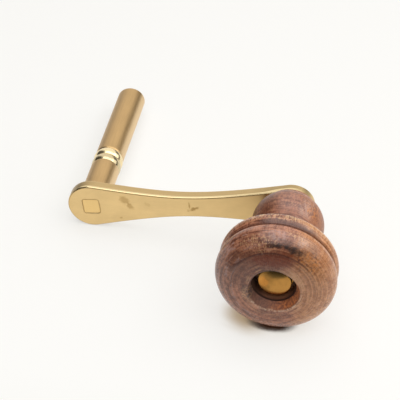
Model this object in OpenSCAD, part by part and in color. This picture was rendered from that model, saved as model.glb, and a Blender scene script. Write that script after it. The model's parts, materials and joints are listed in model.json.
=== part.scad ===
// Crank key for winding a weight-driven clock.
// A flat brass arm carries a brass winding shaft on one face and a turned wooden knob on the other.
// The shaft's square tenon is riveted flush in the arm, and its open end has a square winding socket.
// The knob turns freely on a headed brass spindle, which is riveted in the arm's other end.
// Millimetres. The origin is the centre of the socket's mouth, with +Y out of the mouth towards the
// clock, +X along the arm towards the knob and +Z up across the arm.

/* [Crank arm] */
// Distance from the winding axis to the knob's axis
arm_throw = 66; // [52:0.5:90]
// Thickness of the arm
arm_thickness = 3.7; // [2.8:0.1:6]
// Width of the round end that carries the shaft
shaft_end_width = 15.5; // [13:0.1:20]
// Width of the round end that carries the knob
knob_end_width = 14; // [12:0.1:18]
// Width of the arm at its waist
waist_width = 7.5; // [5:0.1:11]
// Distance from the winding axis to the waist
waist_place = 33; // [26:0.5:40]

/* [Winding shaft] */
// Length of the shaft from the arm to its open end
shaft_length = 58.5; // [44:0.5:80]
// Diameter of the shaft
shaft_diameter = 9.5; // [9:0.1:12.5]
// Rounding of the edge at the shaft's open end
tip_round = 0.8; // [0.2:0.1:1]
// Side of the square tenon that fits the arm
tenon_side = 5.5; // [4.5:0.05:6.2]
// Round taken off each corner of the tenon
tenon_corner_cut = 0.35; // [0.1:0.05:0.5]
// Gap on each side of the tenon
tenon_gap = 0.03; // [0.01:0.01:0.05]

/* [Beads on the shaft] */
// Distance from the arm to the first bead
bead_start = 16.3; // [6:0.1:24]
// Width of one bead
bead_width = 3.25; // [2:0.05:5]
// Height of a bead above the shaft
bead_rise = 0.2; // [0.1:0.05:0.5]
// Depth of the cut beside each bead
bead_cut = 0.2; // [0.1:0.05:0.5]
// Number of beads
bead_count = 2; // [1:1:3]

/* [Winding socket] */
// Winding square that the socket fits, across its flats
winding_square = 5; // [4:0.25:5.75]
// Gap on each side of the winding square
socket_gap = 0.05; // [0.02:0.01:0.15]
// Depth of the square socket
socket_depth = 14; // [8:0.5:20]
// Width of the lead-in round the socket's mouth
lead_in = 0.6; // [0.2:0.1:0.9]
// Length of the drilled hole past the end of the square
drill_runout = 4; // [2:0.5:8]
// How much narrower the drilled hole is than the square
drill_undersize = 0.2; // [0.1:0.05:0.6]
// Angle of the drilled hole's point
drill_point_angle = 118; // [90:1:140]

/* [Knob] */
// Largest diameter of the knob
knob_diameter = 37.4; // [32:0.1:46]
// Length of the knob from its foot to the front of its face
knob_length = 38.5; // [36:0.1:50]
// Distance from the front of the face back to the widest place
front_depth = 6.1; // [4:0.1:8]
// Radius from the widest place in to the centre of the front rounding
front_round = 6.85; // [4:0.05:9]
// Sweep of the front rounding up to the edge of the face, in degrees
front_sweep = 78; // [60:1:85]
// Height of the crowned face above its edge
face_crown = 0.25; // [0.1:0.05:0.6]
// Distance from the widest place back to the groove
back_depth = 3.2; // [2:0.1:5]
// Depth of the groove below the widest place
groove_depth = 2.3; // [1:0.1:3]
// Width of the collar behind the groove
collar_width = 5.2; // [3:0.1:6.5]
// How far the collar stays below the widest place
collar_step = 0.25; // [0:0.05:0.6]
// Diameter of the neck behind the collar
neck_diameter = 17; // [15:0.1:20]
// Distance from the foot to the start of the neck's flare
neck_place = 16; // [14:0.1:19]
// Diameter of the bulb at the foot of the knob
bulb_diameter = 22.9; // [20:0.1:26]
// Distance from the foot to the bulb's widest place
bulb_place = 7.9; // [6:0.1:9]
// Half the length of the bulb's oval
bulb_half_length = 10.7; // [9.2:0.1:12]
// Depth of the recess for the spindle's head, from the front of the face
recess_depth = 7; // [5:0.1:9]
// Width of the bevel round the recess's mouth
mouth_width = 1.35; // [0.5:0.05:2.5]
// Depth of the bevel round the recess's mouth
mouth_depth = 3.2; // [0.5:0.1:4]

/* [Spindle] */
// Diameter of the spindle inside the knob
journal_diameter = 6.5; // [5.5:0.1:8]
// Diameter of the spindle's head
head_diameter = 10.3; // [9.2:0.1:12]
// Thickness of the spindle's head at its edge
head_thickness = 3.1; // [1.2:0.1:4]
// Height of the head's dome above its edge
head_dome = 0.55; // [0.1:0.05:0.8]
// Gap round the head inside the recess
head_margin = 1.7; // [1:0.1:3]
// Diameter of the tail that goes through the arm
tail_diameter = 5; // [4:0.1:5.4]
// Gap round the tail
tail_gap = 0.02; // [0.01:0.01:0.05]
// Depth of the riveted flare at the arm's back
rivet_depth = 0.9; // [0.5:0.1:1.5]
// Widening of the tail at the riveted flare
rivet_flare = 0.9; // [0.4:0.1:1.5]

/* [Bush and washers] */
// Running gap between the spindle and the bush
running_gap = 0.06; // [0.03:0.01:0.1]
// Wall of the bush inside the knob
bush_wall = 1.3; // [0.8:0.1:2]
// Gap round the bush in the wood
bush_gap = 0.02; // [0.01:0.01:0.05]
// Thickness of each washer
washer_thickness = 0.6; // [0.4:0.1:1.2]
// Gap between a washer and the spindle
washer_gap = 0.08; // [0.05:0.01:0.2]
// Outer diameter of the washer between the arm and the knob
arm_washer_diameter = 12; // [10:0.1:14]
// Gap round the washer under the spindle's head
head_washer_margin = 1.3; // [0.4:0.1:1.5]
// End float of the knob at each of its two washers
end_float = 0.15; // [0.05:0.01:0.3]

/* [Hidden] */
$fn = 96;
brass = [0.83, 0.69, 0.43];
shaft_brass = [0.76, 0.61, 0.38];
head_brass = [0.73, 0.54, 0.25];
wood = [0.45, 0.27, 0.19];
// Overshoot of a cutting shape past the face that it opens
cut_past = 1;
// Straight steps in one curved stretch of an outline
curve_steps = 24;
short_curve_steps = 8;
// How far the arm's flanks start inside its round ends, so that they cross the rounds and join them
flank_inset = 0.05;

// Stations along the winding axis, as distances from the socket's mouth
arm_back = shaft_length;
arm_front = arm_back + arm_thickness;
foot_station = arm_front + washer_thickness + end_float;
recess_floor = foot_station + knob_length - recess_depth;
head_seat = recess_floor + end_float + washer_thickness;

// Radii and widths that follow from the sizes above
shaft_radius = shaft_diameter / 2;
socket_side = winding_square + 2 * socket_gap;
drill_diameter = socket_side - drill_undersize;
tenon_round_diameter = tenon_side * sqrt(2) - 2 * tenon_corner_cut;
journal_radius = journal_diameter / 2;
bush_bore_radius = journal_radius + running_gap;
bush_radius = bush_bore_radius + bush_wall;
recess_radius = head_diameter / 2 + head_margin;
washer_bore = journal_diameter + 2 * washer_gap;

// Points on an oval arc from one angle to another, as [radius, station] pairs
function arc(centre, radii, from, to, steps) = [
    for (i = [0 : steps])
        let (a = from + (to - from) * i / steps)
            [centre[0] + radii[0] * cos(a), centre[1] + radii[1] * sin(a)]
];

// Slope squared of the hyperbola that leaves a waist and touches a round end:
// half-width squared = waist squared + slope squared * distance from the waist squared
function flank_slope2(end_radius, waist, distance) =
    let (gain = end_radius * end_radius - waist * waist)
        gain / (distance * distance - gain);

// Upper edge of the arm between a round end and the waist, from the touching point to the waist
function flank(end_radius, distance) =
    let (waist = waist_width / 2)
    let (slope2 = flank_slope2(end_radius, waist, distance))
    let (touch = slope2 * distance / (1 + slope2))
        [
            for (i = [0 : curve_steps])
                let (x = touch + (distance - touch) * i / curve_steps)
                    [x, sqrt(waist * waist + slope2 * (distance - x) * (distance - x))]
        ];

// Turns a shape that is drawn along +Z, away from the socket's mouth, into the key's own frame
module along_shaft() {
    rotate([90, 0, 0]) children();
}

// Places a shape on the knob's axis, with distances counted from the socket's mouth
module on_knob_axis() {
    along_shaft() translate([arm_throw, 0, 0]) children();
}

// A flat ring on the knob's axis
module washer_ring(diameter, station) {
    on_knob_axis() translate([0, 0, station]) difference() {
        cylinder(d = diameter, h = washer_thickness);
        translate([0, 0, -cut_past]) cylinder(d = washer_bore, h = washer_thickness + 2 * cut_past);
    }
}

// Square with its corners broken by a round, as left when a square is cut on a round bar
module broken_square(side, round_diameter) {
    intersection() {
        square(side, center = true);
        circle(d = round_diameter);
    }
}

// Plate of the arm: two round ends joined by flanks that draw in to a waist
module arm_plate() {
    near_edge = flank(shaft_end_width / 2 - flank_inset, waist_place);
    far_half = flank(knob_end_width / 2 - flank_inset, arm_throw - waist_place);
    far_edge = [for (i = [curve_steps - 1 : -1 : 0]) [arm_throw - far_half[i][0], far_half[i][1]]];
    upper = concat(near_edge, far_edge);
    lower = [for (i = [len(upper) - 1 : -1 : 0]) [upper[i][0], -upper[i][1]]];
    union() {
        cylinder(d = shaft_end_width, h = arm_thickness);
        translate([arm_throw, 0, 0]) cylinder(d = knob_end_width, h = arm_thickness);
        linear_extrude(arm_thickness) polygon(concat(upper, lower));
    }
}

module crank_arm() {
    color(brass) along_shaft() translate([0, 0, arm_back]) difference() {
        arm_plate();
        translate([0, 0, -cut_past]) linear_extrude(arm_thickness + 2 * cut_past)
            broken_square(tenon_side + 2 * tenon_gap, tenon_round_diameter + 2 * tenon_gap);
        translate([arm_throw, 0, -cut_past])
            cylinder(d = tail_diameter + 2 * tail_gap, h = arm_thickness + 2 * cut_past);
        translate([arm_throw, 0, 0]) rivet_cone(tail_gap);
    }
}

// Riveted flare at the arm's back, widened all round by a gap
module rivet_cone(gap) {
    narrow = tail_diameter / 2 + gap;
    cylinder(r1 = narrow + rivet_flare, r2 = narrow, h = rivet_depth);
}

// Outline of one bead, from its far cut to its near cut, with a crown between
function bead(far_end) =
    let (sagitta = bead_rise + bead_cut)
    let (half = bead_width / 2)
    let (crown = (half * half + sagitta * sagitta) / (2 * sagitta))
    let (sweep = asin(half / crown))
        arc([shaft_radius + bead_rise - crown, far_end + half], [crown, crown], -sweep, sweep, short_curve_steps);

module shaft_profile() {
    beads_from = shaft_length - bead_start - bead_count * bead_width;
    tip = arc([shaft_radius - tip_round, tip_round], [tip_round, tip_round], -90, 0, short_curve_steps);
    beads = [for (n = [0 : bead_count - 1]) each bead(beads_from + n * bead_width)];
    polygon(concat(
        [[0, 0]],
        tip,
        [[shaft_radius, beads_from - bead_cut]],
        beads,
        [[shaft_radius, shaft_length - bead_start + bead_cut], [shaft_radius, shaft_length], [0, shaft_length]]
    ));
}

module winding_shaft() {
    drill_depth = socket_depth + drill_runout;
    drill_point = drill_diameter / 2 / tan(drill_point_angle / 2);
    color(shaft_brass) along_shaft() difference() {
        union() {
            rotate_extrude() shaft_profile();
            translate([0, 0, shaft_length - cut_past]) linear_extrude(arm_thickness + cut_past)
                broken_square(tenon_side, tenon_round_diameter);
        }
        translate([0, 0, -cut_past]) linear_extrude(socket_depth + cut_past) square(socket_side, center = true);
        cylinder(d1 = socket_side + 2 * lead_in, d2 = socket_side, h = lead_in);
        translate([0, 0, -cut_past]) cylinder(d = drill_diameter, h = drill_depth + cut_past);
        translate([0, 0, drill_depth]) cylinder(d1 = drill_diameter, d2 = 0, h = drill_point);
    }
}

// Radius of the bulb at a distance from the foot, zero past its end
function bulb_radius(u) =
    let (share = (u - bulb_place) / bulb_half_length)
        abs(share) < 1 ? bulb_diameter / 2 * sqrt(1 - share * share) : 0;

// Radius of the neck and of the cove that flares from it to the collar's back
function cove_radius(u, collar_back, back_radius) =
    let (share = max(0, (u - neck_place) / (collar_back - neck_place)))
        back_radius - (back_radius - neck_diameter / 2) * sqrt(1 - min(1, share * share));

module knob_profile() {
    widest = knob_diameter / 2;
    widest_at = knob_length - front_depth;
    groove_at = widest_at - back_depth;
    collar_back = groove_at - collar_width;
    collar_height = groove_depth - collar_step;
    back_radius = widest - groove_depth;
    front_oval = (front_depth - face_crown) / sin(front_sweep);
    edge_radius = widest - front_round + front_round * cos(front_sweep);
    mouth_radius = recess_radius + mouth_width;
    shank = [
        for (i = [0 : 2 * curve_steps])
            let (u = collar_back * sin(90 * i / (2 * curve_steps)))
                [max(bulb_radius(u), cove_radius(u, collar_back, back_radius)), u]
    ];
    collar_half = collar_width / 2;
    collar = arc([back_radius, groove_at - collar_half], [collar_height, collar_half], -90, 90, curve_steps);
    back = arc([back_radius, widest_at], [groove_depth, back_depth], -90, 0, short_curve_steps);
    front = arc([widest - front_round, widest_at], [front_round, front_oval], 0, front_sweep, curve_steps);
    face = [
        for (i = [1 : short_curve_steps])
            let (share = 1 - i / short_curve_steps)
                [mouth_radius + (edge_radius - mouth_radius) * share, knob_length - face_crown * share * share]
    ];
    bore = bush_radius + bush_gap;
    polygon(concat(
        [[bore, 0]],
        shank,
        [for (i = [1 : curve_steps]) collar[i]],
        [for (i = [1 : short_curve_steps]) back[i]],
        [for (i = [1 : curve_steps]) front[i]],
        face,
        [
            [recess_radius, knob_length - mouth_depth],
            [recess_radius, knob_length - recess_depth],
            [bore, knob_length - recess_depth]
        ]
    ));
}

module knob() {
    color(wood) on_knob_axis() translate([0, 0, foot_station]) rotate_extrude() knob_profile();
}

module knob_bush() {
    length = knob_length - recess_depth;
    color(head_brass) on_knob_axis() translate([0, 0, foot_station]) difference() {
        cylinder(r = bush_radius, h = length);
        translate([0, 0, -cut_past]) cylinder(r = bush_bore_radius, h = length + 2 * cut_past);
    }
}

module knob_spindle() {
    head_radius = head_diameter / 2;
    crown = (head_radius * head_radius + head_dome * head_dome) / (2 * head_dome);
    crown_at = head_seat + head_thickness + head_dome - crown;
    sweep = acos(head_radius / crown);
    dome = arc([0, crown_at], [crown, crown], sweep, 90, short_curve_steps);
    tail_radius = tail_diameter / 2;
    color(head_brass) on_knob_axis() rotate_extrude() polygon(concat(
        [
            [0, arm_back],
            [tail_radius + rivet_flare, arm_back],
            [tail_radius, arm_back + rivet_depth],
            [tail_radius, arm_front],
            [journal_radius, arm_front],
            [journal_radius, head_seat],
            [head_radius, head_seat]
        ],
        [for (i = [0 : short_curve_steps - 1]) dome[i]],
        [[0, head_seat + head_thickness + head_dome]]
    ));
}

module arm_washer() {
    color(brass) washer_ring(arm_washer_diameter, arm_front);
}

module head_washer() {
    color(brass) washer_ring(2 * (recess_radius - head_washer_margin), head_seat - washer_thickness);
}

crank_arm();
winding_shaft();
knob();
knob_bush();
knob_spindle();
arm_washer();
head_washer();
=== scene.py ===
"""Looks of a crank key for winding a clock: brass arm and shaft, turned wooden knob, pale sheet under it."""

import json

import bmesh
import bpy
import numpy as np
from bpy.props import FloatProperty, FloatVectorProperty, PointerProperty
from bpy.types import Operator, Panel, PropertyGroup
from mathutils import Matrix, Vector


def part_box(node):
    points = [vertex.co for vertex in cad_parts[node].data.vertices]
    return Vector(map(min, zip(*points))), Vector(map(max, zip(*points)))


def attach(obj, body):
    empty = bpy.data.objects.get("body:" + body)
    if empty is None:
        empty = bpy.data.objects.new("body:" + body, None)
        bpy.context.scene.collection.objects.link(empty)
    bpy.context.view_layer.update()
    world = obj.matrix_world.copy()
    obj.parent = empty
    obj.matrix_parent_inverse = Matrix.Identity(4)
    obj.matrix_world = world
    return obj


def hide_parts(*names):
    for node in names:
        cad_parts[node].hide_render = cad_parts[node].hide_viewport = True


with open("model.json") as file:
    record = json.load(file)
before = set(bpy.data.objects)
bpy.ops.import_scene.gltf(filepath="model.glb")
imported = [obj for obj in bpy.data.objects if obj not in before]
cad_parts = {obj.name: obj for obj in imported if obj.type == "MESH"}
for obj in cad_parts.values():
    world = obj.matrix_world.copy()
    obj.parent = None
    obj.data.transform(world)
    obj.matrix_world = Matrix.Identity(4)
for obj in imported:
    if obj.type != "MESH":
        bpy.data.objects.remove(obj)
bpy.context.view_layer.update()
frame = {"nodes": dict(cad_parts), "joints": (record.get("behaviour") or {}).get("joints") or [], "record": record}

bl_info = {
    "name": "Clock winding key",
    "version": (1, 0, 0),
    "blender": (4, 5, 0),
    "location": "View3D > Sidebar > Clock key",
    "description": "Builds the finished surfaces of a crank key for winding a clock",
    "category": "Object",
}

# Places that the frame gives, in metres. Stations are distances from the socket's mouth along -Y.
MM = 0.001
ARM_LOW, ARM_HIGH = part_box("crank_arm")
_, SHAFT_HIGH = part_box("winding_shaft")
KNOB_LOW, KNOB_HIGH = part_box("knob")
SPINDLE_LOW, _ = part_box("knob_spindle")
BARREL = next(m for m in frame["record"]["mounts"] if m["name"] == "shaft_barrel")
SHAFT_RADIUS = BARREL["dims"]["r_mm"] * MM
THROW = frame["joints"][0]["pos_m"][0]
ARM_BACK = -ARM_HIGH.y
ARM_FRONT = -ARM_LOW.y
KNOB_FOOT = -KNOB_HIGH.y
KNOB_FRONT = -KNOB_LOW.y
KNOB_LENGTH = KNOB_FRONT - KNOB_FOOT
KNOB_RADIUS = (KNOB_HIGH.x - KNOB_LOW.x) / 2

# Columns round every turned surface. A multiple of eight puts columns on a square's corners.
COLUMNS = 192
# Distance within which points of one piece are the same point
SAME_POINT = 1e-6
# Spacing of the fine points on which a profile's creases are rounded
FINE_STEP = 0.02 * MM
# Length of line that one radian of turning counts for when a profile's points are spread
TURN_WEIGHT = 0.6 * MM
# Spread over which the creases of the shaft's barrel are rounded
BARREL_WEAR = 0.05 * MM
# Points of the arm's outline on half a round end and on half a flank
ROUND_POINTS = 72
FLANK_POINTS = 40
# Flank points that belong to the ring round a hub, and points on each rung across the arm between the rings
RING_FLANK = 14
RUNG_POINTS = 14
# Rows of a rounded edge, and the width of the flat row beside it that keeps its shading narrow
EDGE_ROWS = 9
HOLD = 0.12 * MM
# Steps between the unworn and the fully worn mouth of the knob's recess
MOUTH_STEPS = 8
# Sockets of a finish that stays the same all over a metal piece
METAL = {"Metallic": 1.0}


def length(name, description, default):
    """A length property, in metres."""
    return FloatProperty(name=name, description=description, default=default, unit="LENGTH", precision=5)


def angle(name, description, degrees):
    """An angle property, given in degrees."""
    return FloatProperty(name=name, description=description, default=np.radians(degrees), subtype="ANGLE")


def power(name, description, watts):
    """A lamp's power, in watts."""
    return FloatProperty(name=name, description=description, default=watts, unit="POWER")


def colour(name, description, default):
    """A linear colour property."""
    return FloatVectorProperty(
        name=name, description=description, default=default, min=0, max=1, subtype="COLOR")


def place(name, description, default):
    """A point of the frame, in metres."""
    return FloatVectorProperty(
        name=name, description=description, default=default, subtype="XYZ", unit="LENGTH")


class ArmSettings(PropertyGroup):
    """Sizes and colours of the crank arm."""

    waist: length("Waist", "Half of the arm's width at its waist", 3.75 * MM)
    waist_place: length("Waist place", "Distance from the winding axis to the waist", 33 * MM)
    front_round: length("Front rounding", "Rounding of the edge round the front face", 0.45 * MM)
    back_round: length("Back rounding", "Rounding of the edge round the back face", 0.4 * MM)
    tenon_half: length("Tenon hole", "Half the side of the square hole for the shaft's tenon", 2.78 * MM)
    tenon_corner: length("Tenon hole corner", "Radius that breaks the square hole's corners", 3.569 * MM)
    tail_hole: length("Spindle hole", "Radius of the round hole for the spindle's tail", 2.52 * MM)
    rivet_flare: length("Rivet flare", "Widening of the spindle hole at the arm's back", 0.9 * MM)
    joint_bevel: length("Joint bevel", "Bevel of the hole's edge round the tenon", 0.07 * MM)
    brass: colour("Brass", "Colour of the arm's brass", (0.80, 0.575, 0.275))
    # Also paints a glint: the rounded front edge and a band of the flank near the knob take this brighter colour
    # as a painted highlight.
    polished: colour("Polished edge", "Colour of the arm's edges, polished by handling", (0.84, 0.67, 0.38))
    # Also paints shade on the arm's front towards the knob.
    tarnish_and_knob_shade: colour("Tarnish", "Colour of the dull marks on the arm", (0.55, 0.36, 0.14))
    # Also paints the shade line just inside the rounded front edge.
    joint_dirt_and_edge_shade: colour("Joint dirt", "Colour of the line round the front and the tenon", (0.32, 0.2, 0.075))


class ShaftSettings(PropertyGroup):
    """Sizes and colours of the winding shaft."""

    tenon_half: length("Tenon", "Half the side of the square tenon", 2.75 * MM)
    tenon_corner: length("Tenon corner", "Radius that breaks the tenon's corners", 3.539 * MM)
    tenon_round: length("Tenon edge", "Rounding of the edge of the tenon's end", 0.16 * MM)
    tenon_crown: length("Tenon crown", "Height of the hammered tenon end's middle over its edge", 0.07 * MM)
    tip_round: length("Tip rounding", "Rounding of the edge at the open end", 0.8 * MM)
    bead_start: length("Bead start", "Distance from the arm to the first bead", 16.3 * MM)
    bead_width: length("Bead width", "Width of one bead", 3.25 * MM)
    bead_cut: length("Bead cut", "Depth of the cut beside each bead", 0.2 * MM)
    socket_half: length("Socket", "Half the side of the square socket", 2.55 * MM)
    socket_depth: length("Socket depth", "Depth of the square socket", 14 * MM)
    lead_in: length("Lead-in", "Width of the lead-in round the socket's mouth", 0.6 * MM)
    drill_radius: length("Drill", "Radius of the drilled hole past the socket", 2.45 * MM)
    drill_depth: length("Drill depth", "Depth of the drilled hole before its point", 18 * MM)
    drill_point: length("Drill point", "Length of the drilled hole's point", 1.47 * MM)
    brass: colour("Brass", "Colour of the shaft's brass", (0.58, 0.385, 0.178))
    # Painted highlight: a lighter strip along the shaft's +X side, where it reflects the light on the right.
    painted_side_highlight: colour("Rubbed brass", "Colour of the shaft's side that wear keeps bright", (0.82, 0.60, 0.335))
    polished: colour("Polished brass", "Colour of the polished beads", (0.94, 0.77, 0.46))
    tenon: colour("Tenon end", "Colour of the tenon's hammered end", (0.88, 0.615, 0.265))


class KnobSettings(PropertyGroup):
    """Sizes and colours of the wooden knob."""

    front_depth: length("Front depth", "Distance from the face back to the widest place", 6.1 * MM)
    front_round: length("Front rounding", "Depth of the rounding inwards from the widest place", 6.85 * MM)
    front_sweep: angle("Front sweep", "Sweep of the rounding up to the edge of the face", 78)
    face_crown: length("Face crown", "Height of the crowned face above its edge", 0.25 * MM)
    back_depth: length("Back depth", "Distance from the widest place back to the groove", 3.2 * MM)
    groove_depth: length("Groove depth", "Depth of the groove below the widest place", 2.3 * MM)
    collar_width: length("Collar width", "Width of the collar behind the groove", 5.2 * MM)
    collar_step: length("Collar step", "How far the collar stays below the widest place", 0.25 * MM)
    neck: length("Neck", "Radius of the neck behind the collar", 8.5 * MM)
    neck_place: length("Neck place", "Distance from the foot to the start of the neck's flare", 16 * MM)
    bulb: length("Bulb", "Radius of the bulb at the foot", 11.45 * MM)
    bulb_place: length("Bulb place", "Distance from the foot to the bulb's widest place", 7.9 * MM)
    bulb_half_length: length("Bulb half length", "Half the length of the bulb's oval", 10.7 * MM)
    recess: length("Recess", "Radius of the recess for the spindle's head", 6.85 * MM)
    recess_depth: length("Recess depth", "Depth of the recess from the face", 7 * MM)
    mouth_width: length("Mouth width", "Width of the bevel round the recess's mouth", 1.75 * MM)
    mouth_depth: length("Mouth depth", "Depth of the bevel round the recess's mouth", 2.4 * MM)
    worn_side: angle("Worn side", "Bearing about the axis at which the mouth's bevel is widest", -84)
    bore: length("Bore", "Radius of the bore for the bush", 4.63 * MM)
    wear: length("Wear", "Spread over which handling has rounded the turned edges", 0.2 * MM)
    heartwood: colour("Heartwood", "Deep colour of the wood's dark side", (0.15, 0.045, 0.02))
    heartwood_pale: colour("Pale heartwood", "Pale colour of the wood's dark side", (0.50, 0.205, 0.115))
    sapwood: colour("Sapwood", "Deep colour of the wood's light side", (0.36, 0.13, 0.047))
    sapwood_pale: colour("Pale sapwood", "Pale colour of the wood's light side", (0.68, 0.335, 0.16))
    # Also paints the shaded part of the dark streak across the head's top.
    dark_vein_and_shade: colour("Dark vein", "Colour of the dark streaks, pores and dirt", (0.035, 0.018, 0.014))
    light_fleck: colour("Light fleck", "Colour of the light flecks and worn edges", (0.64, 0.40, 0.20))
    orange_fleck: colour("Orange fleck", "Colour of the orange flecks on the light side", (0.60, 0.23, 0.07))
    # Also paints shade in the groove and on the collar's front.
    grime_and_shade: colour("Grime", "Colour of the brown dirt in grooves and corners", (0.085, 0.034, 0.026))
    # Painted sheen on the bulb and the head's top; also the pale turning lines.
    pale_lines_and_sheen: colour("Haze", "Colour of the polish that has clouded on the head's top", (0.50, 0.40, 0.40))
    bulb_split: angle("Bulb split", "Bearing at which the bulb's dark and light wood meet", 47)
    # Painted sheen along the strip where the bulb's woods meet.
    bulb_sheen: colour("Bulb sheen", "Colour of the strip where the bulb's woods meet", (0.80, 0.62, 0.53))
    # Painted shade: the colour of the darker patches on the face, the bulb's left and the head's top.
    shadow: colour("Shadow", "Colour of the dark patches in the wood", (0.085, 0.022, 0.009))
    # Painted shade: darker, redder wood on the face above the recess.
    shaded_top: colour("Red top", "Colour of the reddish wood above the recess", (0.19, 0.032, 0.006))
    bevel_left: colour("Left bevel", "Deep colour of the mouth's bevel on the left", (0.075, 0.026, 0.014))
    bevel_left_pale: colour("Pale left bevel", "Pale colour of the bevel on the left", (0.19, 0.07, 0.035))
    bevel_right: colour("Right bevel", "Deep colour of the mouth's bevel on the right", (0.16, 0.038, 0.012))
    bevel_right_pale: colour("Pale right bevel", "Pale colour of the bevel on the right", (0.62, 0.19, 0.05))
    # Worn chips and a painted highlight along the mouth's lower rim.
    chip_and_highlight: colour("Chips", "Colour of the small chips along the mouth's lower rim", (0.70, 0.48, 0.33))
    wall_upper: colour("Upper wall", "Colour of the recess's wall below its lip", (0.15, 0.055, 0.03))
    # Painted warm reflection of the brass head on the recess's wall near its floor.
    wall_deep_reflection: colour("Deep wall", "Colour of the recess's wall near its floor", (0.42, 0.19, 0.095))
    # Painted shade on the recess's wall to the left and right.
    wall_side_shade: colour("Side wall", "Colour of the recess's wall to the left and right", (0.04, 0.016, 0.009))
    wall_lip: colour("Wall lip", "Colour of the dark line under the recess's lip", (0.03, 0.01, 0.004))


class SpindleSettings(PropertyGroup):
    """Sizes and colours of the knob's spindle, bush and washers."""

    tail: length("Tail", "Radius of the tail in the arm", 2.5 * MM)
    rivet_depth: length("Rivet depth", "Depth of the riveted flare at the arm's back", 0.9 * MM)
    rivet_flare: length("Rivet flare", "Widening of the tail at the riveted flare", 0.9 * MM)
    journal: length("Journal", "Radius of the journal that the knob turns on", 3.25 * MM)
    head: length("Head", "Radius of the head", 5.15 * MM)
    head_thickness: length("Head thickness", "Thickness of the head at its edge", 3.1 * MM)
    head_dome: length("Head dome", "Height of the dome on the head", 0.55 * MM)
    head_round: length("Head rounding", "Spread over which the head's edge is rounded", 0.12 * MM)
    brass: colour("Brass", "Colour of the spindle's brass", (0.41, 0.205, 0.052))
    # Painted warm reflection on the head's left.
    warm_reflection: colour("Handled brass", "Colour of the warm patch on the head", (0.72, 0.28, 0.05))
    # Painted shadow of the recess's upper rim on the head.
    rim_shadow: colour("Tarnished brass", "Colour of the dark patch on the head", (0.13, 0.08, 0.025))


class StageSettings(PropertyGroup):
    """Camera, light and the sheet under the key."""

    camera_place: place("Camera place", "Where the camera stands", (0.16419, -0.506865, 0.343953))
    camera_aim: place("Camera aim", "Point that the camera looks at", (0.034178, -0.053701, -0.003401))
    lens: FloatProperty(name="Lens", description="Focal length of the camera", default=162, unit="CAMERA")
    sheet_half_width: length("Sheet half width", "Half the width of the sheet under the key", 0.45)
    sheet_front: length("Sheet front", "Distance from the knob to the sheet's front edge", 0.05)
    sheet_back: length("Sheet back", "Distance from the knob to the sheet's back edge", 0.6)
    sheet_colour: colour("Sheet colour", "Colour of the sheet", (0.90, 0.895, 0.88))
    sheet_shade: colour("Sheet shading", "Part of the seen sheet that shows shadows", (0.28, 0.278, 0.274))
    # Painted shadow: the colours below darken and warm the seen sheet under and beside the knob.
    contact_shade: colour("Contact shading", "The same part right under the knob", (0.05, 0.025, 0.016))
    contact_shadow_lift: colour("Contact lift", "Light that is added under the knob", (0.02, 0.008, 0.004))
    warm_shadow_lift: colour("Warm lift", "Light that is added round the knob", (0.58, 0.52, 0.43))
    side_shadow_lift: colour("Side lift", "Light that is added close beside the knob", (0.27, 0.17, 0.06))
    backdrop: colour("Backdrop", "Colour that the camera sees past the sheet", (0.974, 0.965, 0.93))
    room_dim: colour("Dim room", "Colour of the room low down and towards the camera", (0.08, 0.078, 0.075))
    room_bright: colour("Bright room", "Colour of the room above and behind", (1.0, 0.98, 0.95))
    ceiling_place: place("Ceiling place", "Middle of the soft ceiling light", (0.356, -0.367, 0.60))
    ceiling_width: length("Ceiling width", "Size of the ceiling light along X", 1.1)
    ceiling_depth: length("Ceiling depth", "Size of the ceiling light along Y", 1.2)
    ceiling_power: power("Ceiling power", "Power of the ceiling light", 7.0)
    window_place: place("Window place", "Middle of the soft light on the right", (0.866, 0.07, 0.50))
    window_width: length("Window width", "Size of the right light along Y", 1.26)
    window_height: length("Window height", "Size of the right light along Z", 0.75)
    window_power: power("Window power", "Power of the right light", 4.0)


class KeySettings(PropertyGroup):
    """All settings of the key."""

    arm: PointerProperty(type=ArmSettings)
    shaft: PointerProperty(type=ShaftSettings)
    knob: PointerProperty(type=KnobSettings)
    spindle: PointerProperty(type=SpindleSettings)
    stage: PointerProperty(type=StageSettings)


# Surfaces

def grid_faces(rows, columns, wrap):
    """Quads of a grid that is numbered row by row. wrap joins the last column to the first."""
    row = np.arange(rows - 1)[:, None] * columns
    column = np.arange(columns if wrap else columns - 1)
    ahead = (column + 1) % columns
    quads = [row + column, row + ahead, row + columns + ahead, row + columns + column]
    return np.stack(quads, axis=-1).reshape(-1, 4)


def closed_mesh(name, grids):
    """One mesh from grids of points, each (rows, columns, 3) with its wrap. Points that coincide join."""
    points = []
    faces = []
    start = 0
    for grid, wrap in grids:
        rows, columns, _ = grid.shape
        points.append(grid.reshape(-1, 3))
        faces.append(grid_faces(rows, columns, wrap) + start)
        start += rows * columns
    mesh = bpy.data.meshes.new(name)
    mesh.from_pydata(np.concatenate(points).tolist(), [], np.concatenate(faces).tolist())
    shell = bmesh.new()
    shell.from_mesh(mesh)
    bmesh.ops.remove_doubles(shell, verts=shell.verts, dist=SAME_POINT)
    bmesh.ops.dissolve_degenerate(shell, edges=shell.edges, dist=SAME_POINT / 10)
    bmesh.ops.recalc_face_normals(shell, faces=shell.faces)
    shell.to_mesh(mesh)
    shell.free()
    mesh.shade_smooth()
    return mesh


def add_piece(name, grids, material, body, node):
    """Adds a piece that rides a body, takes its finish from a slot and stands for a CAD node."""
    piece = bpy.data.objects.new(name, closed_mesh(name, grids))
    bpy.context.scene.collection.objects.link(piece)
    piece.data.materials.append(material)
    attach(piece, body)
    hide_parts(node)


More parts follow.
